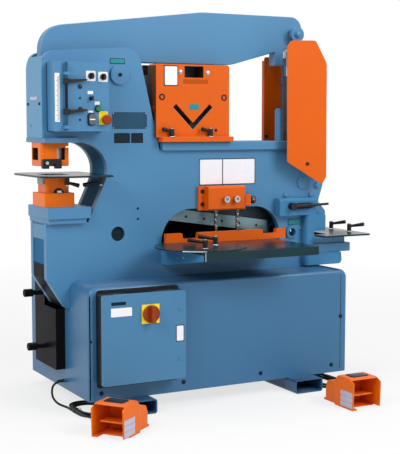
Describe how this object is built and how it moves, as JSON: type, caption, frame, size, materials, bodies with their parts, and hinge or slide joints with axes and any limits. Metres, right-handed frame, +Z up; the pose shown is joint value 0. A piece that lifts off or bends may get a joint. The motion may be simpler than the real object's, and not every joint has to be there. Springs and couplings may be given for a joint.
{
  "type": "hydraulic ironworker",
  "caption": "Floor-standing hydraulic ironworker: two-plate frame with punch throat, angle shear, flat shear arch and notcher on a cabinet with foot switches.",
  "frame": {"origin": "on the floor, in the middle of the four anchor holes", "axes": "+X to the operator's right along the machine, +Y to the back, +Z up"},
  "size_m": [1.7161, 1.2599, 1.77],
  "materials": {
    "blue_paint": "satin machine enamel",
    "orange_paint": "gloss machine enamel",
    "dark_steel": "oiled, dark",
    "bare_steel": "ground",
    "black_paint": "satin",
    "black_plastic": "moulded",
    "red_plastic": "moulded",
    "green_plastic": "moulded",
    "grey_metal": "satin",
    "cable_rubber": "matt sheath"
  },
  "bodies": {
    "frame": {"skid_tubes": "blue_paint", "cabinet_shell": "blue_paint", "front_plate": "blue_paint", "rear_plate": "blue_paint", "frame_spacers": "blue_paint", "bolsters": "blue_paint", "notcher_die": "blue_paint", "control_box": "blue_paint", "guard_sheets": "orange_paint", "stripper": "orange_paint", "die_holder": "orange_paint", "angle_shear_box": "orange_paint", "fence": "orange_paint", "pedal_shields": "orange_paint", "hold_down_bracket": "orange_paint", "punch_table": "dark_steel", "shear_table": "dark_steel", "notch_table": "dark_steel", "die_tooling": "dark_steel", "fixed_cylinders": "dark_steel", "pivot_pins": "bare_steel", "electrical_enclosure": "black_paint", "power_unit": "grey_metal", "left_cord": "cable_rubber", "left_coil": "cable_rubber", "right_cord": "cable_rubber", "right_coil": "cable_rubber"},
    "door": {"enclosure_door": "blue_paint"},
    "disconnect": {"disconnect_knob": "red_plastic"},
    "beam": {"beam": "blue_paint"},
    "links": {"beam_links": "blue_paint"},
    "beam_barrel": {"beam_cylinder_barrel": "dark_steel"},
    "beam_rod": {"beam_cylinder_rod": "bare_steel"},
    "angle_blade": {"angle_blade": "bare_steel"},
    "notch_ram": {"notch_ram": "bare_steel"},
    "shear_arm": {"shear_arm": "blue_paint", "upper_blade": "bare_steel"},
    "shear_rod": {"shear_cylinder_rod": "bare_steel"},
    "punch_ram": {"punch_ram": "bare_steel"},
    "hold_down": {"hold_down_screws": "bare_steel"},
    "slug_bin": {"slug_bin": "black_paint"},
    "toggle_lever": {"toggle_lever": "black_plastic"},
    "start_button": {"start_button": "green_plastic"},
    "twin_button": {"twin_button": "green_plastic"},
    "emergency_stop": {"emergency_stop": "red_plastic"},
    "stroke_collar_upper": {"stroke_collar_upper": "black_plastic"},
    "stroke_collar_lower": {"stroke_collar_lower": "black_plastic"},
    "selector_left": {"selector_left": "black_plastic"},
    "selector_right": {"selector_right": "black_plastic"},
    "selector_small": {"selector_small": "black_plastic"},
    "punch_lever_left": {"punch_lever_left": "black_plastic"},
    "punch_lever_right": {"punch_lever_right": "black_plastic"},
    "angle_clamp_left": {"angle_clamp_left": "black_plastic"},
    "angle_clamp_right": {"angle_clamp_right": "black_plastic"},
    "shear_lever_left": {"shear_lever_left": "black_plastic"},
    "shear_lever_right": {"shear_lever_right": "black_plastic"},
    "notch_lever_left": {"notch_lever_left": "black_plastic"},
    "notch_lever_right": {"notch_lever_right": "black_plastic"},
    "treadle_left": {"treadle_left": "black_paint"},
    "treadle_right": {"treadle_right": "black_paint"}
  },
  "joints": [
    {"name": "beam_rock", "type": "hinge", "parent": "frame", "child": "beam", "pos_m": [-0.3975, -0.046, 1.469], "axis": [0, 1, 0], "range_deg": [0, 4.5]},
    {"name": "link_swing", "type": "hinge", "parent": "beam", "child": "links", "pos_m": [0.5645, -0.046, 1.684], "axis": [0, 1, 0], "range_deg": [-4, 1]},
    {"name": "barrel_swing", "type": "hinge", "parent": "frame", "child": "beam_barrel", "pos_m": [0.5645, -0.046, 1.176], "axis": [0, 1, 0], "range_deg": [-0.2, 2.2]},
    {"name": "beam_rod_slide", "type": "slide", "parent": "beam_barrel", "child": "beam_rod", "axis": [0, 0, 1], "range_m": [-0.08, 0.001]},
    {"name": "angle_blade_slide", "type": "slide", "parent": "frame", "child": "angle_blade", "axis": [0, 0, -1], "range_m": [0, 0.03]},
    {"name": "notch_ram_slide", "type": "slide", "parent": "frame", "child": "notch_ram", "axis": [0, 0, -1], "range_m": [0, 0.079]},
    {"name": "shear_arm_swing", "type": "hinge", "parent": "frame", "child": "shear_arm", "pos_m": [0.5745, -0.046, 0.964], "axis": [0, -1, 0], "range_deg": [0, 8.5]},
    {"name": "shear_rod_slide", "type": "slide", "parent": "frame", "child": "shear_rod", "axis": [0, 0, -1], "range_m": [0, 0.138]},
    {"name": "punch_ram_slide", "type": "slide", "parent": "frame", "child": "punch_ram", "axis": [0, 0, -1], "range_m": [0, 0.039]},
    {"name": "upper_collar_slide", "type": "slide", "parent": "punch_ram", "child": "stroke_collar_upper", "axis": [0, 0, 1], "range_m": [-0.05, 0.008]},
    {"name": "lower_collar_slide", "type": "slide", "parent": "punch_ram", "child": "stroke_collar_lower", "axis": [0, 0, 1], "range_m": [-0.005, 0.05]},
    {"name": "selector_left_turn", "type": "hinge", "parent": "frame", "child": "selector_left", "pos_m": [-0.5645, -0.226, 1.457], "axis": [0, -1, 0], "range_deg": [-45, 45]},
    {"name": "selector_right_turn", "type": "hinge", "parent": "frame", "child": "selector_right", "pos_m": [-0.5085, -0.226, 1.454], "axis": [0, -1, 0], "range_deg": [-45, 45]},
    {"name": "selector_small_turn", "type": "hinge", "parent": "frame", "child": "selector_small", "pos_m": [-0.5655, -0.226, 1.361], "axis": [0, -1, 0], "range_deg": [-45, 45]},
    {"name": "start_button_press", "type": "slide", "parent": "frame", "child": "start_button", "axis": [0, 1, 0], "range_m": [0, 0.004], "stiffness_N_per_m": 600, "springref_m": -0.004},
    {"name": "twin_button_press", "type": "slide", "parent": "frame", "child": "twin_button", "axis": [0, 1, 0], "range_m": [0, 0.004], "stiffness_N_per_m": 600, "springref_m": -0.004},
    {"name": "emergency_stop_press", "type": "slide", "parent": "frame", "child": "emergency_stop", "axis": [0, 1, 0], "range_m": [0, 0.004], "stiffness_N_per_m": 600, "springref_m": -0.004},
    {"name": "punch_lever_left_turn", "type": "hinge", "parent": "frame", "child": "punch_lever_left", "pos_m": [-0.6475, -0.143, 1.021], "axis": [0, 0, 1], "range_deg": [-60, 60]},
    {"name": "punch_lever_right_turn", "type": "hinge", "parent": "frame", "child": "punch_lever_right", "pos_m": [-0.4985, -0.171, 1.021], "axis": [0, 0, 1], "range_deg": [-60, 60]},
    {"name": "angle_clamp_left_turn", "type": "hinge", "parent": "frame", "child": "angle_clamp_left", "pos_m": [-0.1515, -0.179, 1.193], "axis": [0, 0, 1], "range_deg": [0, 150]},
    {"name": "angle_clamp_right_turn", "type": "hinge", "parent": "frame", "child": "angle_clamp_right", "pos_m": [0.0485, -0.179, 1.193], "axis": [0, 0, 1], "range_deg": [0, 150]},
    {"name": "hold_down_screw", "type": "slide", "parent": "frame", "child": "hold_down", "axis": [0, 0, -1], "range_m": [0, 0.038]},
    {"name": "shear_lever_left_turn", "type": "hinge", "parent": "frame", "child": "shear_lever_left", "pos_m": [-0.1295, -0.457, 0.704], "axis": [0, 0, 1], "range_deg": [-60, 60]},
    {"name": "shear_lever_right_turn", "type": "hinge", "parent": "frame", "child": "shear_lever_right", "pos_m": [-0.0195, -0.348, 0.704], "axis": [0, 0, 1], "range_deg": [-60, 60]},
    {"name": "notch_lever_left_turn", "type": "hinge", "parent": "frame", "child": "notch_lever_left", "pos_m": [0.8715, 0.027, 0.704], "axis": [0, 0, 1], "range_deg": [-60, 60]},
    {"name": "notch_lever_right_turn", "type": "hinge", "parent": "frame", "child": "notch_lever_right", "pos_m": [0.8715, -0.131, 0.704], "axis": [0, 0, 1], "range_deg": [-60, 60]},
    {"name": "toggle_lever_lift", "type": "hinge", "parent": "frame", "child": "toggle_lever", "pos_m": [0.4835, -0.191, 0.856], "axis": [0, -1, 0], "range_deg": [0, 30]},
    {"name": "slug_bin_slide", "type": "slide", "parent": "frame", "child": "slug_bin", "axis": [-1, 0, 0], "range_m": [0, 0.25]},
    {"name": "door_swing", "type": "hinge", "parent": "frame", "child": "door", "pos_m": [-0.6135, -0.451, 0.148], "axis": [0, 0, -1], "range_deg": [0, 110]},
    {"name": "disconnect_turn", "type": "hinge", "parent": "door", "child": "disconnect", "pos_m": [-0.3935, -0.451, 0.442], "axis": [0, -1, 0], "range_deg": [0, 90]},
    {"name": "treadle_left_press", "type": "hinge", "parent": "frame", "child": "treadle_left", "pos_m": [-0.6105, -0.632, 0.046], "axis": [0.6, -0.8, 0], "range_deg": [0, 8], "stiffness_Nm_per_rad": 8, "springref_deg": -14.32},
    {"name": "treadle_right_press", "type": "hinge", "parent": "frame", "child": "treadle_right", "pos_m": [0.4845, -0.699, 0.046], "axis": [1, 0, 0], "range_deg": [0, 8], "stiffness_Nm_per_rad": 8, "springref_deg": -14.32}
  ],
  "couplings": [
    {"joint": "link_swing", "follows": "beam_rock", "ratio": -0.7789},
    {"joint": "barrel_swing", "follows": "beam_rock", "ratio": 0.4098},
    {"joint": "beam_rod_slide", "follows": "beam_rock", "m_per_rad": -0.9666},
    {"joint": "angle_blade_slide", "follows": "beam_rock", "m_per_rad": 0.366},
    {"joint": "notch_ram_slide", "follows": "beam_rock", "m_per_rad": 0.9856},
    {"joint": "shear_rod_slide", "follows": "shear_arm_swing", "m_per_rad": 0.9245}
  ]
}
